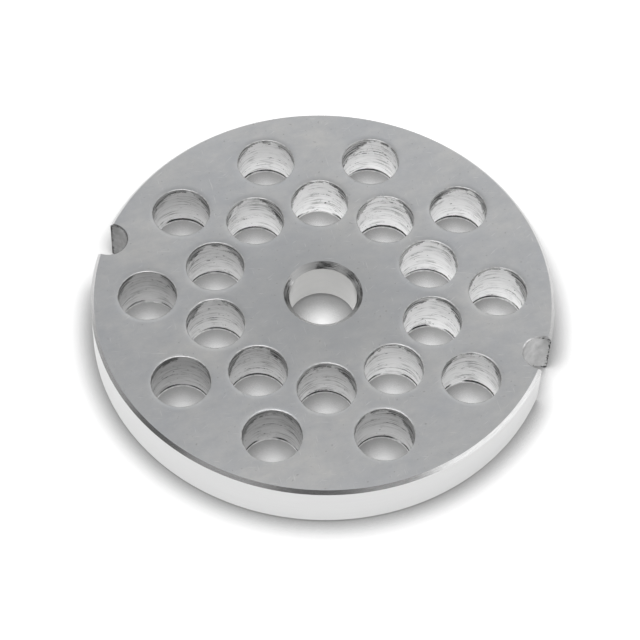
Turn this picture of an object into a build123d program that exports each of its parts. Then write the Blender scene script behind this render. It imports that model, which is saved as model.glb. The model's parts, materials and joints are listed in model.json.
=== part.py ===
from build123d import *
import math
import os

# A meat grinder plate: one steel disc, turned, drilled, notched and ground on both faces.
# The origin is on the bore's axis at the underside, and +Z runs up the bore. Both faces
# are alike, so the plate can be turned over. Lengths are in millimetres, angles in degrees.

# The turned disc
plate_diameter = 82
plate_thickness = 9.5
rim_chamfer = 0.6

# The bore, which turns about the pin of the grinder's feed screw
bore_diameter = 12
bore_chamfer = 1

# The cutting holes, in staggered rings that fill the plate from the rim inwards
hole_diameter = 10.2
rim_web = 4.9
ring_gap = 0.8
least_hole_web = 2

# The round-bottomed notches that key the plate into the grinder's ring. The first was
# milled a little off the X axis, within the play of the key.
notch_width = 6.7
notch_depth = 4.3
first_notch_angle = -1.3
second_notch_angle = 180

# The light break that deburring leaves round every hole and notch
edge_break = 0.2

plate_radius = plate_diameter / 2
bore_radius = bore_diameter / 2
hole_radius = hole_diameter / 2
notch_radius = notch_width / 2

# The outermost ring lies inside the rim's web, and more rings follow while they leave
# the bore's mouth a web as wide as the rim's.
outer_pitch_radius = plate_radius - rim_web - hole_radius
ring_spacing = hole_diameter + ring_gap
least_pitch_radius = bore_radius + bore_chamfer + rim_web + hole_radius
ring_count = 1 + int((outer_pitch_radius - least_pitch_radius) / ring_spacing)
inner_pitch_radius = outer_pitch_radius - (ring_count - 1) * ring_spacing

# Every ring has as many holes as the innermost can hold. The count is even, so that both
# notches fall between two holes of the outermost ring.
least_half_step = math.asin((hole_radius + least_hole_web / 2) / inner_pitch_radius)
holes_per_ring = 2 * int(math.pi / least_half_step / 2)
half_step = 180 / holes_per_ring


def turned_disc():
    """The disc and its bore, turned from one section, with every corner chamfered."""
    section = Polyline(
        (bore_radius + bore_chamfer, 0),
        (plate_radius - rim_chamfer, 0),
        (plate_radius, rim_chamfer),
        (plate_radius, plate_thickness - rim_chamfer),
        (plate_radius - rim_chamfer, plate_thickness),
        (bore_radius + bore_chamfer, plate_thickness),
        (bore_radius, plate_thickness - bore_chamfer),
        (bore_radius, bore_chamfer),
        close=True,
    )
    return revolve(Plane.XZ * make_face(section), Axis.Z)


def through_cutter(outline):
    """What a cut of this outline takes away, with its edge broken at both faces."""
    lower_mouth = extrude(offset(outline, edge_break), edge_break, taper=45)
    upper_mouth = mirror(lower_mouth, Plane.XY.offset(plate_thickness / 2))
    return extrude(outline, plate_thickness) + lower_mouth + upper_mouth


def cutting_holes():
    """Cutters for every ring. Each ring is turned by half a step against the next."""
    cutter = through_cutter(Circle(hole_radius))
    holes = []
    for ring in range(ring_count):
        pitch_radius = outer_pitch_radius - ring * ring_spacing
        start_angle = (ring + 1) * half_step
        holes += PolarLocations(pitch_radius, holes_per_ring, start_angle) * cutter
    return holes


def notches():
    """Cutters for the notches: a slot whose inner end is round and whose outer end is
    beyond the rim."""
    slot_center = plate_radius + notch_radius - notch_depth / 2
    slot = Pos(X=slot_center) * SlotCenterToCenter(notch_depth, notch_width)
    cutter = through_cutter(slot)
    return [Rot(Z=angle) * cutter for angle in (first_notch_angle, second_notch_angle)]


grinder_plate = turned_disc() - cutting_holes() - notches()

os.makedirs("parts", exist_ok=True)
export_step(grinder_plate, "parts/grinder_plate.step")
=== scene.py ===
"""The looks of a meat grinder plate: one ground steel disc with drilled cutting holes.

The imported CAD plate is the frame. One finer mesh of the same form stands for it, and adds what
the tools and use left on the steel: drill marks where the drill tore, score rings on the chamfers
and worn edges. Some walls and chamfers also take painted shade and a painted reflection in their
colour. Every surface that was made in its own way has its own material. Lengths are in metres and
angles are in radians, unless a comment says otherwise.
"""
import json
import math

import bpy
import numpy as np
from mathutils import Matrix, Vector
from mathutils.geometry import delaunay_2d_cdt


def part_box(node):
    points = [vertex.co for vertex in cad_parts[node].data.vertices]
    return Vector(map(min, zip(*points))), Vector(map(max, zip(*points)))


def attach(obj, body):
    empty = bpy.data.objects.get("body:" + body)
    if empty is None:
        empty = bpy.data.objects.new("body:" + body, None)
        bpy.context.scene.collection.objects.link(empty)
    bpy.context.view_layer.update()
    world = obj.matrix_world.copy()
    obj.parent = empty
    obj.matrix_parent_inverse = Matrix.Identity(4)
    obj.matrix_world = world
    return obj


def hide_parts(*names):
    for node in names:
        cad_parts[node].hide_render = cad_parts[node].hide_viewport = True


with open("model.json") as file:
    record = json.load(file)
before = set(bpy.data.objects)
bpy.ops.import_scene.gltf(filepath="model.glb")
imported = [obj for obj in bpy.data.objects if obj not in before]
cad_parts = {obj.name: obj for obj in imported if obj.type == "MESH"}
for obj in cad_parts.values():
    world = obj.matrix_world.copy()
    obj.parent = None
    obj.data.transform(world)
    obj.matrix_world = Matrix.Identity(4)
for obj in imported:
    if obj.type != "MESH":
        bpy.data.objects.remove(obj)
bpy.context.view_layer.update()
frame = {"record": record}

mm = 0.001

# ---------------------------------------------------------------- sizes, from the frame

record = frame["record"]
mounts = {mount["name"]: mount for mount in record["mounts"]}
plate_low, plate_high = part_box("grinder_plate")
thickness = plate_high.z - plate_low.z
rim_radius = (plate_high.y - plate_low.y) / 2
rim_chamfer = (thickness - mounts["rim"]["dims"]["length_mm"] * mm) / 2
bore_radius = mounts["bore"]["dims"]["r_mm"] * mm
bore_chamfer = (thickness - mounts["bore"]["dims"]["length_mm"] * mm) / 2
hole_boxes = [
    opening["box_m"] for opening in record["physics"]["openings"] if "hole" in opening["name"]
]
hole_centers = [
    Vector(((low[0] + high[0]) / 2, (low[1] + high[1]) / 2)) for low, high in hole_boxes
]
notch_mounts = [mounts["first_notch"], mounts["second_notch"]]

# Sizes that the frame doesn't name
hole_radius = 5.1 * mm
notch_radius = 3.35 * mm
edge_break = 0.2 * mm

# ---------------------------------------------------------------- how fine the mesh is

hole_steps = 80
wall_rows = 26
foot_rows = 8  # within foot_height of the underside
foot_height = 1.0 * mm
burr_rows = 2
mouth_steps = 4
roll_off_steps = 3
rim_steps = 300
rim_rows = 24
notch_steps = 30
bore_steps = 120
bore_chamfer_rows = 14
bore_rows = 8
sharp_angle = math.radians(30)

# ---------------------------------------------------------------- the mesh in the making

GROUND, TURNED, RIM_CHAMFER, BORE, BORE_CHAMFER, DRILLED, MILLED, WORN_EDGE = range(8)


class Skin:
    """Points and faces in the making. Each face knows its finish, and each point knows how marked
    the steel is by tears and painted dark, and how much painted shade it takes: 0 is not at all,
    and 1 is fully."""

    def __init__(self):
        self.points = []
        self.faces = []
        self.finishes = []
        self.tears_and_painted_dark = []
        self.painted_shade = []

    def loop(self, points, tears_and_painted_dark=0.0, painted_shade=0.0):
        """Adds a closed loop of points and returns their numbers."""
        start = len(self.points)
        self.points += [tuple(point) for point in points]
        self.tears_and_painted_dark += list(np.broadcast_to(tears_and_painted_dark, len(points)))
        self.painted_shade += list(np.broadcast_to(painted_shade, len(points)))
        return list(range(start, start + len(points)))

    def face(self, corners, finish):
        self.faces.append(corners)
        self.finishes.append(finish)

    def bridge(self, loops, finish):
        """Joins each loop to the next. It faces outward where anticlockwise loops rise."""
        for near, far in zip(loops, loops[1:]):
            for here in range(len(near)):
                after = (here + 1) % len(near)
                self.face((near[here], near[after], far[after], far[here]), finish)


def circle(center, radii, heights, angles):
    """Points round an upright axis, with a radius and a height for each angle."""
    x = center[0] + radii * np.cos(angles)
    y = center[1] + radii * np.sin(angles)
    return np.stack([x, y, heights + 0 * angles], axis=1)


def round_angles(steps):
    return np.linspace(0, math.tau, steps, endpoint=False)


def wavy(random, angles, strengths):
    """A smooth closed curve round a circle, one random wave for each strength."""
    total = 0 * angles
    for count, strength in enumerate(strengths, start=1):
        total = total + strength * np.sin(count * angles + random.uniform(0, math.tau))
    return total


def arc_share(angles, middle, reach):
    """1 on an arc, and falling to 0 at its ends."""
    around = (angles - middle + math.pi) % math.tau - math.pi
    return np.exp(-((around / reach) ** 4))


def ridge(distance, width):
    """1 on a line, and falling to 0 within about twice the width."""
    return np.exp(-((distance / width) ** 2))


# ---------------------------------------------------------------- drilled holes

# The band under the mouth that the drill tore as it went in. It reaches deepest on two sides.
torn_depth = 0.06 * mm
torn_strength = 0.9
torn_heights = (0.3 * mm, 1.0 * mm)
torn_side_heights = (1.6 * mm, 3.4 * mm)
torn_side_angle = 0.2
torn_side_scatter = 0.25
torn_waves = (0.25, 0.15, 0.1)
torn_step_count = 22
torn_step_height = 0.5 * mm
torn_blur = 1.2 * mm

# The grooves that the drill's lips cut, each round a part of the wall
groove_counts = (7, 13)
groove_levels = (0.08, 0.9)  # shares of the thickness
groove_waves = (0.12 * mm, 0.05 * mm)
groove_spans = (0.3, 1.3)
groove_widths = (0.12 * mm, 0.25 * mm)
groove_depths = (0.02 * mm, 0.06 * mm)
groove_strength = 0.6

# The fine rings where the drill chattered
chatter_depth = 0.006 * mm
chatter_change = 0.6
chatter_waves = (1.0, 0.7, 0.5)

# The line at the wall's foot, a groove broken in places and painted dark as the shade in it, and
# the burr that stands in below it
foot_line_height = 0.6 * mm
foot_line_width = 0.34 * mm
foot_line_depth = 0.05 * mm
foot_line_shade = (1.2, 1.9)
foot_line_fullness = 1.1
foot_line_waves = (0.5, 0.4, 0.3, 0.3, 0.3, 0.3)
burr_height = 0.1 * mm
burr_width = 0.2 * mm
burr_depth = 0.14 * mm

# Painted shade on the walls, standing in for the light that reaches them unevenly: darker near the
# rim and towards one side of the plate
shaded_side = Vector((-0.49, -0.87))
shade_spread = 0.94
shade_growth = 0.6
shade_scatter = 0.05
unshaded_radius = 5 * mm

# The rounded edge of a mouth, and the face that rolls off into it
mouth_round = edge_break
mouth_wear = 0.25
mouth_waves = (0.5, 0.4, 0.3, 0.3, 0.2)
roll_off_width = 0.85 * mm
roll_off_drop = 0.05 * mm


def torn_band(random, angle, depth):
    """The band that the drill tore: 1 in it, and 0 below its ragged lower line."""
    lobes = np.cos(angle - random.normal(torn_side_angle, torn_side_scatter)) ** 2
    steps = random.uniform(-torn_step_height, torn_step_height, torn_step_count)
    lower_line = random.uniform(*torn_heights) + random.uniform(*torn_side_heights) * lobes
    lower_line = lower_line * (1 + wavy(random, angle, torn_waves))
    lower_line = lower_line + steps[(angle / math.tau * torn_step_count).astype(int)]
    return np.clip(0.5 + (lower_line - depth) / torn_blur, 0, 1)


def grooves(random, angle, depth):
    """The drill's grooves, as relief and tearing."""
    relief = 0 * depth
    tears_and_painted_dark = 0 * depth
    for _ in range(random.integers(*groove_counts)):
        level = random.uniform(*groove_levels) * thickness + wavy(random, angle, groove_waves)
        span = random.uniform(*groove_spans)
        middle = random.uniform(0, math.tau)
        width = random.uniform(*groove_widths)
        groove = arc_share(angle, middle, span) * ridge(depth - level, width)
        relief += random.uniform(*groove_depths) * groove
        tears_and_painted_dark = np.maximum(tears_and_painted_dark, groove_strength * groove)
    return relief, tears_and_painted_dark


def foot_marks(random, angle, height):
    """The line at the wall's foot and its burr, as relief, and as tearing that goes beyond 1 on the
    line, where it is painted dark as shade.
    """
    unbroken = np.clip(foot_line_fullness + wavy(random, angle, foot_line_waves), 0, 1)
    line = unbroken * ridge(height - foot_line_height, foot_line_width)
    relief = foot_line_depth * line - burr_depth * ridge(height - burr_height, burr_width)
    return relief, line * random.uniform(*foot_line_shade)


def drill_marks(random, angles, depths):
    """What the drill did to the wall, for each depth below the face and each angle: how far it
    went outwards, and how much it tore the steel. The foot's line goes beyond 1, where it is
    painted dark as shade."""
    angle, depth = np.meshgrid(angles, depths)
    band = torn_band(random, angle, depth)
    groove_relief, groove_torn = grooves(random, angle, depth)
    chatter = random.normal(0, chatter_depth, (len(depths), 1))
    chatter = chatter * (1 + chatter_change * wavy(random, angle, chatter_waves))
    foot_relief, foot_torn = foot_marks(random, angle, thickness - depth)
    relief = torn_depth * band + groove_relief + chatter + foot_relief
    return relief, np.maximum.reduce([torn_strength * band, groove_torn, foot_torn])


def hole_shade(random, center):
    """How much painted shade darkens a hole's wall."""
    toward_side = shade_spread * center.dot(shaded_side)
    toward_rim = shade_growth * (center.length - unshaded_radius)
    scatter = random.normal(0, shade_scatter)
    return np.clip((toward_side + toward_rim) / rim_radius + scatter, 0, 1)


def mouth_profile():
    """The rounded edge of a hole and the face that rolls off into it, as (out, down) from
    the corner, from the face inwards."""
    shares = np.arange(roll_off_steps) / roll_off_steps
    rolling = [
        (mouth_round + roll_off_width * (1 - share), roll_off_drop * share**2) for share in shares
    ]
    turns = np.linspace(0, math.pi / 2, mouth_steps + 1)[:-1]
    fall = mouth_round - roll_off_drop
    rounding = [
        (mouth_round * (1 - math.sin(turn)), mouth_round - fall * math.cos(turn)) for turn in turns
    ]
    return rolling + rounding


def mouth_radii(out, worn, wall_out):
    """The radii of a mouth this far out from the wall: plain on the face, worn on the rounded
    edge, and led into the wall's own where the two meet."""
    if out > mouth_round:
        return hole_radius + out + 0 * worn
    near_wall = 1 - out / mouth_round
    return hole_radius + out * worn + (wall_out - out * worn + out) * near_wall


def add_hole(skin, random, center):
    """One drilled hole. Returns its outline on the upper face and on the lower face."""
    angles = round_angles(hole_steps)
    foot = thickness - foot_height
    depths = np.concatenate([
        np.linspace(mouth_round, foot, wall_rows, endpoint=False),
        np.linspace(foot, thickness - mouth_round, foot_rows + 1),
    ])
    relief, tears_and_painted_dark = drill_marks(random, angles, depths)
    painted_shade = hole_shade(random, center)
    walls = [
        skin.loop(circle(center, hole_radius + out, thickness - depth, angles), mark, painted_shade)
        for depth, out, mark in zip(depths, relief, tears_and_painted_dark)
    ]
    mouths = []
    for face_height, inward, wall_out in ((thickness, -1, relief[0]), (0, 1, relief[-1])):
        worn = 1 + mouth_wear * wavy(random, angles, mouth_waves)
        mouth = []
        for out, down in mouth_profile():
            radii = mouth_radii(out, worn, wall_out)
            mouth.append(skin.loop(circle(center, radii, face_height + inward * down, angles)))
        mouths.append(mouth)
    upper, lower = mouths
    skin.bridge(upper[: roll_off_steps + 1], GROUND)
    skin.bridge(upper[roll_off_steps:] + walls[:1], WORN_EDGE)
    skin.bridge(walls[:-burr_rows], DRILLED)
    skin.bridge(walls[-burr_rows - 1 :] + lower[roll_off_steps:][::-1], WORN_EDGE)
    skin.bridge(lower[: roll_off_steps + 1][::-1], GROUND)
    return upper[0], lower[0]


# ---------------------------------------------------------------- bore

# The rings that the countersink scored in the chamfers, and arcs where their colour is a
# painted reflection: dark rings on bumped arcs, and one arc of painted highlight. An arc is its
# middle and its half length.
score_depth = 0.008 * mm
score_change = 0.5
score_waves = (0.5, 0.5, 0.4)
bumped_and_painted_dark_arcs = ((0.5, 0.65), (1.73, 0.35), (3.3, 0.45))
highlight_arc = (-1.3, 1.1)


def add_bore(skin, random):
    """The reamed bore and its chamfers. Returns its outline on the upper face and on the
    lower face. Here the tears and painted dark stand for the bumped arcs painted as a dark
    reflection, and the painted shade is 0 on the arc of painted highlight."""
    angles = round_angles(bore_steps)
    shares = np.linspace(0, 1, bore_chamfer_rows + 1)
    ring_marks = random.uniform(-1, 1, bore_chamfer_rows + 1) * score_depth
    ring_marks[0] = ring_marks[-1] = 0
    bumped_and_painted_dark = sum(arc_share(angles, middle, reach) for middle, reach in bumped_and_painted_dark_arcs)
    off_highlight = 1 - arc_share(angles, *highlight_arc)
    upper = []
    lower = []
    for share, score in zip(shares, ring_marks):
        ripple = score * (1 + score_change * wavy(random, angles, score_waves))
        radii = bore_radius + bore_chamfer * (1 - share) + ripple
        down = bore_chamfer * share
        upper.append(skin.loop(circle((0, 0), radii, thickness - down, angles), bumped_and_painted_dark, off_highlight))
        lower.append(skin.loop(circle((0, 0), radii, down, angles), bumped_and_painted_dark, off_highlight))
    heights = np.linspace(thickness - bore_chamfer, bore_chamfer, bore_rows + 1)[1:-1]
    walls = [skin.loop(circle((0, 0), bore_radius, height, angles)) for height in heights]
    skin.bridge(upper, BORE_CHAMFER)
    skin.bridge([upper[-1]] + walls + [lower[-1]], BORE)
    skin.bridge(lower[::-1], BORE_CHAMFER)
    return upper[0], lower[0]


# ---------------------------------------------------------------- rim and notches

# Painted shade on the notches' walls: the notch on the left is painted darker than the one on the
# right.
light_notch_shade = 0.52
dark_notch_shade = 0.95
notch_line_depth = 0.35 * mm
notch_line_width = 0.4 * mm
notch_corner_width = 0.8 * mm


def notch_outline(mount, outer_radius, growth):
    """The notch's outline at one level, as the plate's outline runs anticlockwise past it: in
    at the first corner, round the inner end and out at the last corner."""
    end = Vector(mount["pos_m"][:2])
    outward = Vector(mount["axis"][:2]).normalized()
    aside = Vector((-outward.y, outward.x))
    radius = notch_radius + growth
    corner_out = math.sqrt(outer_radius**2 - radius**2)
    middle_out = (end + outward * notch_radius).dot(outward)
    turns = np.linspace(-math.pi / 2, -3 * math.pi / 2, notch_steps - 1)
    round_end = [
        outward * (middle_out + radius * math.cos(turn)) + aside * radius * math.sin(turn)
        for turn in turns
    ]
    first_corner = outward * corner_out - aside * radius
    last_corner = outward * corner_out + aside * radius
    return [first_corner] + round_end + [last_corner]


def plate_outline(outer_radius, growth):
    """The plate's outline at one level: a notch, half the rim, the other notch and the rest
    of the rim. Returns the points, and which steps lie in a notch."""
    points = []
    in_notch = []
    outlines = [notch_outline(mount, outer_radius, growth) for mount in notch_mounts]
    for this, following in zip(outlines, outlines[::-1]):
        points += this
        in_notch += [True] * (len(this) - 1) + [False]
        start = math.atan2(this[-1].y, this[-1].x)
        turn = (math.atan2(following[0].y, following[0].x) - start) % math.tau
        angles = np.linspace(start, start + turn, rim_steps // 2 + 1)[1:-1]
        points += [Vector((math.cos(a), math.sin(a))) * outer_radius for a in angles]
        in_notch += [False] * len(angles)
    return points, in_notch


def notch_marks(point, height):
    """How much a notch is marked by tears here, in a line under its edges and at the rim, and how
    much painted shade it takes: the notch on the left is painted darker than the other."""
    under_edge = ridge(min(height, thickness - height) - notch_line_depth, notch_line_width)
    at_rim = ridge(rim_radius - point.length, notch_corner_width)
    painted_shade = light_notch_shade if point.x > 0 else dark_notch_shade
    return max(under_edge, at_rim), painted_shade


def rim_levels():
    """(height, rim inset, notch growth) from the lower face to the upper."""
    lower = [(0, rim_chamfer, edge_break), (edge_break, rim_chamfer - edge_break, 0)]
    wall = np.linspace(rim_chamfer, thickness - rim_chamfer, rim_rows + 1)
    upper = [(thickness - height, inset, growth) for height, inset, growth in lower[::-1]]
    return lower + [(height, 0, 0) for height in wall] + upper


def add_rim(skin):
    """The turned rim, its chamfers and both notches. The lighter notch has worn edges.
    Returns the plate's outline on the upper face and on the lower face."""
    loops = []
    levels = rim_levels()
    for height, inset, growth in levels:
        outline, in_notch = plate_outline(rim_radius - inset, growth)
        tears_and_painted_dark, painted_shade = zip(*[notch_marks(point, height) for point in outline])
        loops.append(skin.loop([(point.x, point.y, height) for point in outline], tears_and_painted_dark, painted_shade))
    for level, (near, far) in enumerate(zip(loops, loops[1:])):
        _, inset, growth = levels[level]
        _, next_inset, next_growth = levels[level + 1]
        rim_finish = TURNED if inset == next_inset else RIM_CHAMFER
        for here, notched in enumerate(in_notch):
            worn = growth != next_growth and outline[here].x > 0
            notch_finish = WORN_EDGE if worn else MILLED
            after = (here + 1) % len(near)
            corners = (near[here], near[after], far[after], far[here])
            skin.face(corners, notch_finish if notched else rim_finish)
    return loops[-1], loops[0]


# ---------------------------------------------------------------- faces and the whole plate

seed = 22
merge_distance = 1e-7  # in millimetres
plate_outline_owner = 0


def add_face(skin, outlines, upward):
    """A flat face between the plate's outline, which comes first, and its holes' outlines."""
    numbers = [number for outline in outlines for number in outline]
    owners = [owner for owner, outline in enumerate(outlines) for _ in outline]
    flat = [Vector(skin.points[number][:2]) / mm for number in numbers]
    edges = []
    for outline in outlines:
        start = len(edges)
        count = len(outline)
        edges += [(start + here, start + (here + 1) % count) for here in range(count)]
    inside_outline = 1
    filled = delaunay_2d_cdt(flat, edges, [], inside_outline, merge_distance)
    _, _, triangles, origins, _, _ = filled
    for triangle in triangles:
        corners = [origins[corner][0] for corner in triangle]
        met = {owners[corner] for corner in corners}
        if len(met) == 1 and plate_outline_owner not in met:
            continue  # it lies inside a hole
        corners = [numbers[corner] for corner in corners]
        skin.face(tuple(corners if upward else corners[::-1]), GROUND)


def build_plate():
    """The whole plate as one closed mesh."""
    random = np.random.default_rng(seed)
    skin = Skin()
    uppers, lowers = zip(
        add_rim(skin),
        add_bore(skin, random),
        *[add_hole(skin, random, center) for center in hole_centers],
    )
    add_face(skin, uppers, upward=True)
    add_face(skin, lowers, upward=False)
    mesh = bpy.data.meshes.new("grinder_plate_steel")
    mesh.from_pydata(skin.points, [], skin.faces)
    for finish in finishes():
        mesh.materials.append(finish)
    mesh.polygons.foreach_set("material_index", skin.finishes)
    for name, values in (("tears_and_painted_dark", skin.tears_and_painted_dark), ("painted_shade", skin.painted_shade)):
        mesh.attributes.new(name, "FLOAT", "POINT").data.foreach_set("value", values)
    mesh.polygons.foreach_set("use_smooth", [True] * len(skin.faces))
    mesh.update()
    mesh.set_sharp_from_angle(angle=sharp_angle)
    plate = bpy.data.objects.new("grinder_plate_steel", mesh)
    bpy.context.scene.collection.objects.link(plate)
    return plate


# ---------------------------------------------------------------- materials


class Nodes:
    """The nodes of a material or a world, with short ways to add and join them."""

    def __init__(self, owner):
        owner.use_nodes = True
        self.owner = owner
        self.tree = owner.node_tree

    def put(self, node, values):
        """Gives a node's inputs their values. An output of another node is joined on."""
        for socket, value in values.items():
            if isinstance(value, bpy.types.NodeSocket):
                self.tree.links.new(value, node.inputs[socket])
            else:
                node.inputs[socket].default_value = value

    def add(self, kind, values, **settings):
        node = self.tree.nodes.new("ShaderNode" + kind)
        for setting, value in settings.items():
            setattr(node, setting, value)
        self.put(node, values)
        return node

    def place(self, scale, turn=0.0):
        """Object coordinates, turned about the bore. The scale is how many features of a noise
        a millimetre holds, in all directions or along each axis."""
        coordinates = self.add("TexCoord", {}).outputs["Object"]
        turned = self.add("Mapping", {"Vector": coordinates, "Rotation": (0, 0, turn)})
        scales = [axis / mm for axis in np.broadcast_to(scale, 3)]
        values = {"Vector": turned.outputs["Vector"], "Scale": scales}
        return self.add("Mapping", values).outputs["Vector"]

    def noise(self, scale, detail=2.0, roughness=0.5, turn=0.0):
        values = {"Vector": self.place(scale, turn), "Scale": 1.0}
        values.update({"Detail": detail, "Roughness": roughness})
        return self.add("TexNoise", values).outputs["Fac"]

    def mark(self, name):
        """What the mesh says of the steel here, by name: its tears and painted dark, and its
        painted shade.
        """
        return self.add("Attribute", {}, attribute_name=name).outputs["Fac"]

    def math(self, operation, first, second):
        return self.add("Math", {0: first, 1: second}, operation=operation).outputs[0]

    def spread(self, value, low=0, high=1, start=0.3, end=0.7, **settings):
        """The value from start to end, spread over low to high. Without a start and an end it
        is for a noise, most of which lies from 0.3 to 0.7."""
        values = {"Value": value, "From Min": start, "From Max": end, "To Min": low, "To Max": high}
        return self.add("MapRange", values, **settings).outputs["Result"]

    def choose(self, share, first, second):
        """A number from the first to the second, as share goes from 0 to 1."""
        return self.add("Mix", {0: share, 2: first, 3: second}).outputs[0]

    def blend(self, share, first, second):
        """The same for two colours, each a socket or red, green and blue."""
        values = {0: share}
        for socket, color in ((6, first), (7, second)):
            values[socket] = color if isinstance(color, bpy.types.NodeSocket) else (*color, 1)
        return self.add("Mix", values, data_type="RGBA").outputs[2]

    def bump(self, height, distance, strength, onto=None):
        """A rough surface, raised by up to the distance, on top of another one if given."""
        values = {"Height": height, "Distance": distance, "Strength": strength}
        if onto is not None:
            values["Normal"] = onto
        return self.add("Bump", values).outputs["Normal"]

    def steel(self, color, roughness, surface):
        """Sets a steel's colour, roughness and surface, and returns the material."""
        values = {"Metallic": 1.0, "Base Color": color, "Roughness": roughness, "Normal": surface}
        self.put(self.tree.nodes["Principled BSDF"], values)
        return self.owner


def material_nodes(name):
    return Nodes(bpy.data.materials.new(name))


def grey(level):
    return (level, level, level)


def ground_steel():
    """The satin faces, ground flat: clouds and smears, darker round the bore, with hairline
    scratches and specks."""
    cool_cloud = (0.58, 0.595, 0.62)
    warm_cloud = (0.705, 0.70, 0.685)
    smear = (0.46, 0.475, 0.50)
    smear_turn = 0.9
    middle_grey = (0.40, 0.41, 0.42)
    middle_darkening = 0.35
    darkest_within = 8  # millimetres from the bore's axis
    bright_beyond = 25
    scratch = grey(0.80)
    scratch_turns = (0.5, 1.3, 2.6)
    speck = grey(0.40)
    nodes = material_nodes("ground_steel")
    clouds = nodes.noise(0.08, detail=7, roughness=0.75)
    color = nodes.blend(nodes.spread(clouds), cool_cloud, warm_cloud)
    smears = nodes.noise((0.5, 0.22, 0.5), detail=4, roughness=0.7, turn=smear_turn)
    color = nodes.blend(nodes.spread(smears, high=0.4), color, smear)
    radius = nodes.add("VectorMath", {0: nodes.place((1, 1, 0))}, operation="LENGTH")
    radius = radius.outputs["Value"]
    toward_middle = nodes.spread(radius, low=middle_darkening, high=0, start=darkest_within, end=bright_beyond)
    color = nodes.blend(toward_middle, color, middle_grey)
    for turn in scratch_turns:
        hairlines = nodes.noise((5, 0.3, 1), detail=1, turn=turn)
        hairlines = nodes.spread(hairlines, high=0.6, start=0.73, end=0.79)
        color = nodes.blend(hairlines, color, scratch)
    specks = nodes.spread(nodes.noise(1.5), high=0.6, start=0.7, end=0.74)
    color = nodes.blend(specks, color, speck)
    grain = nodes.noise(3)
    surface = nodes.bump(grain, 0.0015 * mm, strength=0.5)
    return nodes.steel(color, nodes.spread(grain, low=0.28, high=0.32), surface)


def turned_steel():
    """The rim, with the faint rings of the lathe."""
    dark_ring = (0.575, 0.577, 0.577)
    light_ring = grey(0.605)
    nodes = material_nodes("turned_steel")
    rings = nodes.noise((0.1, 0.1, 12), detail=3)
    color = nodes.blend(nodes.spread(rings), dark_ring, light_ring)
    return nodes.steel(color, 0.28, nodes.bump(rings, 0.002 * mm, strength=0.5))


def chamfered_steel():
    """The rim's chamfers, with small nicks."""
    dark_mark = grey(0.57)
    light_mark = grey(0.67)
    nick = grey(0.95)
    nodes = material_nodes("chamfered_steel")
    marks = nodes.noise((0.6, 0.6, 6), detail=4)
    color = nodes.blend(nodes.spread(marks), dark_mark, light_mark)
    nicks = nodes.spread(nodes.noise(1.2), start=0.72, end=0.76)
    color = nodes.blend(nicks, color, nick)
    return nodes.steel(color, 0.25, nodes.bump(marks, 0.008 * mm, strength=0.5))


def reamed_steel():
    """The smooth wall of the bore."""
    dark_mark = (0.45, 0.45, 0.445)
    light_mark = (0.48, 0.478, 0.47)
    nodes = material_nodes("reamed_steel")
    marks = nodes.noise((0.15, 0.15, 0.6), detail=3)
    color = nodes.blend(nodes.spread(marks), dark_mark, light_mark)
    return nodes.steel(color, 0.3, nodes.bump(marks, 0.002 * mm, strength=0.5))


def scoring_and_painted_reflection():
    """The bore's chamfers: plain grey, with a painted reflection in them: dark rings on bumped
    arcs, and a painted highlight on one side."""
    dark_plain = grey(0.38)
    light_plain = grey(0.46)
    painted_highlight = grey(0.9)
    dark_reflection = grey(0.12)
    light_reflection = grey(0.6)
    nodes = material_nodes("scoring_and_painted_reflection")
    rings = nodes.noise((0.4, 0.4, 6), detail=4, roughness=0.7)
    grain = nodes.noise(2, detail=4, roughness=0.7)
    bumped_and_painted_dark = nodes.math("ADD", nodes.mark("tears_and_painted_dark"), nodes.spread(grain, low=-0.4, high=0.4))
    bumped_and_painted_dark = nodes.spread(bumped_and_painted_dark, start=0.25, end=0.75)
    plain = nodes.blend(nodes.spread(rings), dark_plain, light_plain)
    # Painted highlight on one side of the chamfers.
    plain = nodes.blend(nodes.mark("painted_shade"), painted_highlight, plain)
    # Painted reflection: dark and light rings on the bumped arcs.
    ring_marks = nodes.blend(nodes.spread(rings, start=0.4, end=0.6), dark_reflection, light_reflection)
    color = nodes.blend(bumped_and_painted_dark, plain, ring_marks)
    roughness = nodes.spread(bumped_and_painted_dark, low=0.45, high=0.3, start=0, end=1)
    return nodes.steel(color, roughness, nodes.bump(rings, 0.012 * mm, bumped_and_painted_dark))


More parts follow.
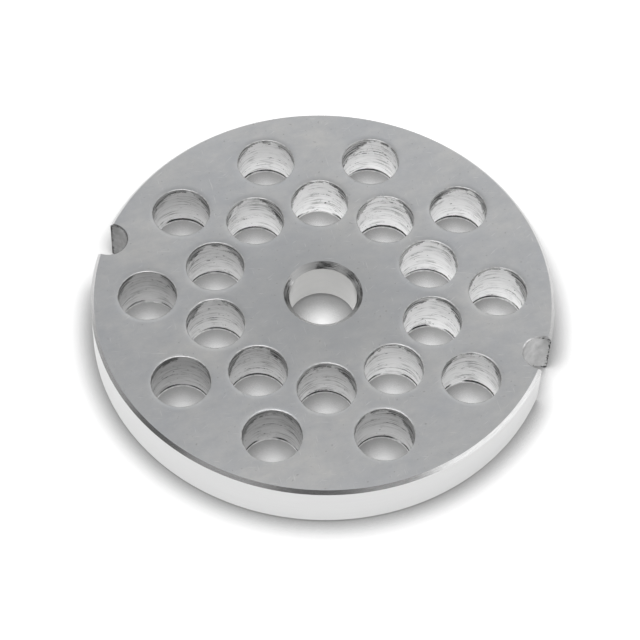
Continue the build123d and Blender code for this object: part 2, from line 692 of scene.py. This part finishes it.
def drilled_steel():
    """The cutting holes' walls: bright, streaked round by the drill, and dark where it tore.
    Painted shade darkens some walls more than others, and a line at the foot.
    """
    unshaded = grey(0.92)
    painted_shade = grey(0.55)
    tear_and_shade_dark = grey(0.12)
    foot_shade = grey(0.05)
    nodes = material_nodes("drilled_steel")
    tears_and_painted_dark = nodes.mark("tears_and_painted_dark")
    streaks = nodes.noise((0.2, 0.2, 3.6), detail=4, roughness=0.7)
    grain = nodes.noise((1.3, 1.3, 3), detail=5, roughness=0.75)
    ragged = nodes.math("ADD", tears_and_painted_dark, nodes.spread(grain, low=-0.5, high=0.5))
    ragged = nodes.spread(ragged, start=0.45, end=0.65)
    in_streaks = nodes.spread(streaks, low=0.3, start=0.42, end=0.58)
    tears_and_foot_shade = nodes.math("MULTIPLY", ragged, in_streaks)
    patches = nodes.spread(nodes.noise(0.35), low=0.15, start=0.42, end=0.62)
    thin_streaks = nodes.spread(streaks, high=0.62, start=0.5, end=0.64)
    light_streaks = nodes.math("MULTIPLY", patches, thin_streaks)
    pits = nodes.spread(nodes.noise((1.3, 1.3, 3), detail=1), high=0.9, start=0.72, end=0.75)
    marks = nodes.math("MAXIMUM", nodes.math("MAXIMUM", tears_and_foot_shade, light_streaks), pits)
    # Painted shade, more on some walls than on others.
    color = nodes.blend(nodes.mark("painted_shade"), unshaded, painted_shade)
    color = nodes.blend(marks, color, tear_and_shade_dark)
    # Painted shade in the line at the wall's foot.
    color = nodes.blend(nodes.spread(tears_and_painted_dark, start=1.0, end=1.3), color, foot_shade)
    roughness = nodes.spread(streaks, low=0.6, high=0.8)
    surface = nodes.bump(streaks, 0.04 * mm, strength=0.8)
    return nodes.steel(color, roughness, nodes.bump(grain, 0.05 * mm, ragged, onto=surface))


def milled_steel():
    """The notches' walls: blotchy stains and painted shade, with black pits along their edges."""
    unshaded = grey(0.74)
    painted_shade = grey(0.215)
    pit = grey(0.03)
    nodes = material_nodes("milled_steel")
    blotches = nodes.noise((0.7, 0.7, 0.5), detail=5, roughness=0.6)
    blotches = nodes.spread(blotches, low=-0.15, high=0.15)
    shade_and_blotches = nodes.spread(nodes.math("ADD", nodes.mark("painted_shade"), blotches), start=0, end=1)
    grain = nodes.noise((2, 2, 1.6), detail=4, roughness=0.7)
    pitted = nodes.math("ADD", nodes.math("MULTIPLY", nodes.mark("tears_and_painted_dark"), 0.5), grain)
    color = nodes.blend(shade_and_blotches, unshaded, painted_shade)
    color = nodes.blend(nodes.spread(pitted, start=0.87, end=0.98), color, pit)
    return nodes.steel(color, 0.45, nodes.bump(grain, 0.04 * mm, strength=0.5))


def worn_steel():
    """The rounded edges of the holes and of one notch, polished by use."""
    dark_wear = grey(0.5)
    light_wear = grey(0.7)
    nodes = material_nodes("worn_steel")
    wear = nodes.noise(1.5, detail=3)
    color = nodes.blend(nodes.spread(wear, start=0.35, end=0.6), dark_wear, light_wear)
    roughness = nodes.spread(wear, low=0.34, high=0.46)
    return nodes.steel(color, roughness, nodes.bump(wear, 0.01 * mm, strength=0.5))


def finishes():
    """The materials, in the order of the finish numbers."""
    return [
        ground_steel(),
        turned_steel(),
        chamfered_steel(),
        reamed_steel(),
        scoring_and_painted_reflection(),
        drilled_steel(),
        milled_steel(),
        worn_steel(),
    ]


# ---------------------------------------------------------------- floor

floor_reach = 6.0
floor_gap = 0.01 * mm
floor_white = 0.9
floor_glow = 0.48
floor_roughness = 0.8

# How the camera sees the floor darken round the plate: its shades, from the closest corner to
# the open floor, and the shares of its surroundings that are open there.
contact_reach = 6 * mm
contact_samples = 8
contact_shades = (0.26, 1.0)
open_shares = (0.46, 0.98)


def white_floor():
    """Matt white, with a little glow for what looks at it. The camera sees it darken where
    the plate closes it in."""
    nodes = material_nodes("white_floor")
    ray = nodes.add("LightPath", {}).outputs
    distance = {"Distance": contact_reach}
    openness = nodes.add("AmbientOcclusion", distance, samples=contact_samples).outputs["AO"]
    shade = nodes.spread(openness, *contact_shades, *open_shares)
    seen = nodes.choose(ray["Is Camera Ray"], 1.0, shade)
    white = nodes.math("MULTIPLY", seen, floor_white)
    color = nodes.add("CombineColor", {"Red": white, "Green": white, "Blue": white}).outputs[0]
    mirrored = nodes.math("MAXIMUM", ray["Is Glossy Ray"], ray["Is Transmission Ray"])
    looked_at = nodes.math("MAXIMUM", ray["Is Camera Ray"], mirrored)
    glow = nodes.math("MULTIPLY", nodes.math("MULTIPLY", looked_at, seen), floor_glow)
    values = {"Base Color": color, "Roughness": floor_roughness}
    values.update({"Emission Color": (1, 1, 1, 1), "Emission Strength": glow})
    nodes.put(nodes.tree.nodes["Principled BSDF"], values)
    return nodes.owner


def add_floor():
    """A large white floor, just under the plate."""
    height = plate_low.z - floor_gap
    sides = ((-1, -1), (1, -1), (1, 1), (-1, 1))
    corners = [(x * floor_reach, y * floor_reach, height) for x, y in sides]
    mesh = bpy.data.meshes.new("floor")
    mesh.from_pydata(corners, [], [(0, 1, 2, 3)])
    mesh.materials.append(white_floor())
    floor = bpy.data.objects.new("floor", mesh)
    bpy.context.scene.collection.objects.link(floor)


# ---------------------------------------------------------------- camera

# From the photograph's perspective. The top face's centre shows at its pixel.
image_side = 640
focal_pixels = 2462
center_pixel = Vector((323.2, 293.1))
camera_distance = 435 * mm
camera_elevation = math.radians(55.39)
camera_azimuth = math.radians(14.32)
camera_roll = math.radians(2.34)


def add_camera():
    azimuth, elevation = camera_azimuth, camera_elevation
    right = Vector((math.cos(azimuth), math.sin(azimuth), 0))
    back = Vector((
        math.sin(azimuth) * math.cos(elevation),
        -math.cos(azimuth) * math.cos(elevation),
        math.sin(elevation),
    ))
    up = back.cross(right)
    roll = Matrix.Rotation(camera_roll, 3, back)
    right, up = roll @ right, roll @ up
    middle = Vector((image_side, image_side)) / 2
    shift = (center_pixel - middle) * camera_distance / focal_pixels
    top_center = Vector((0, 0, thickness))
    place = top_center + back * camera_distance - right * shift.x + up * shift.y
    turn = Matrix((right, up, back)).transposed().to_4x4()
    data = bpy.data.cameras.new("camera")
    data.lens = focal_pixels / image_side * data.sensor_width
    camera = bpy.data.objects.new("camera", data)
    camera.matrix_world = Matrix.Translation(place) @ turn
    bpy.context.scene.collection.objects.link(camera)
    bpy.context.scene.camera = camera


# ---------------------------------------------------------------- light

wall_brightness = 0.43
dark_share = 0.8
dark_corners = {
    "behind_camera": {"toward": (0.0, -0.82, 0.57), "spread": 0.36},
    "front_left": {"toward": (-0.85, -0.35, 0.39), "spread": 0.33},
}


def from_camera(right, away, up):
    """A point given as the camera sees it, in the frame."""
    return Matrix.Rotation(camera_azimuth, 3, "Z") @ Vector((right, away, up))


def add_studio():
    """Grey walls all round, with dark corners that line the chamfers."""
    world = bpy.data.worlds.new("studio")
    nodes = Nodes(world)
    direction = nodes.add("TexCoord", {}).outputs["Generated"]
    strength = wall_brightness
    for corner in dark_corners.values():
        toward = from_camera(*corner["toward"]).normalized()
        gap = nodes.add("VectorMath", {0: direction, 1: toward}, operation="DISTANCE")
        share = nodes.spread(
            gap.outputs["Value"],
            low=1 - dark_share,
            start=corner["spread"] / 2,
            end=corner["spread"],
            interpolation_type="SMOOTHSTEP",
        )
        strength = nodes.math("MULTIPLY", share, strength)
    nodes.put(nodes.tree.nodes["Background"], {"Color": (1, 1, 1, 1), "Strength": strength})
    bpy.context.scene.world = world


def add_softbox(name, place, width, height, brightness):
    """A lamp that faces the plate. Its place is as the camera sees it: right, away and up.
    Its brightness is that of its face."""
    name = name + "_softbox"
    data = bpy.data.lights.new(name, "AREA")
    data.shape = "RECTANGLE"
    data.size = width
    data.size_y = height
    data.energy = brightness * width * height * math.pi
    lamp = bpy.data.objects.new(name, data)
    lamp.location = from_camera(*place)
    lamp.rotation_mode = "QUATERNION"
    lamp.rotation_quaternion = (-lamp.location).to_track_quat("-Z", "Y")
    bpy.context.scene.collection.objects.link(lamp)


def add_light():
    """The grey studio, and the lamps that brighten the face, the rim and the hole walls."""
    add_studio()
    add_softbox("back", place=(0.0, 0.5, 0.5), width=0.5, height=0.2, brightness=0.45)
    add_softbox("back_right", place=(0.3, 0.42, 0.7), width=0.4, height=0.4, brightness=0.22)
    add_softbox("back_left", place=(-0.56, 0.32, 0.39), width=0.55, height=0.2, brightness=0.8)
    add_softbox("left", place=(-0.3, -0.2, 0.6), width=0.4, height=0.4, brightness=1.2)
    add_softbox("right", place=(0.72, -0.18, 0.25), width=0.8, height=0.5, brightness=1.0)
    add_softbox("front", place=(0.0, -0.7, 0.06), width=0.8, height=0.12, brightness=1.4)
    add_softbox("key", place=(-0.01, -0.035, 0.18), width=0.08, height=0.08, brightness=4.4)


# ---------------------------------------------------------------- the scene

bpy.context.scene.view_settings.view_transform = "Standard"
plate = build_plate()
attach(plate, "root")
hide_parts("grinder_plate")
add_floor()
add_camera()
add_light()
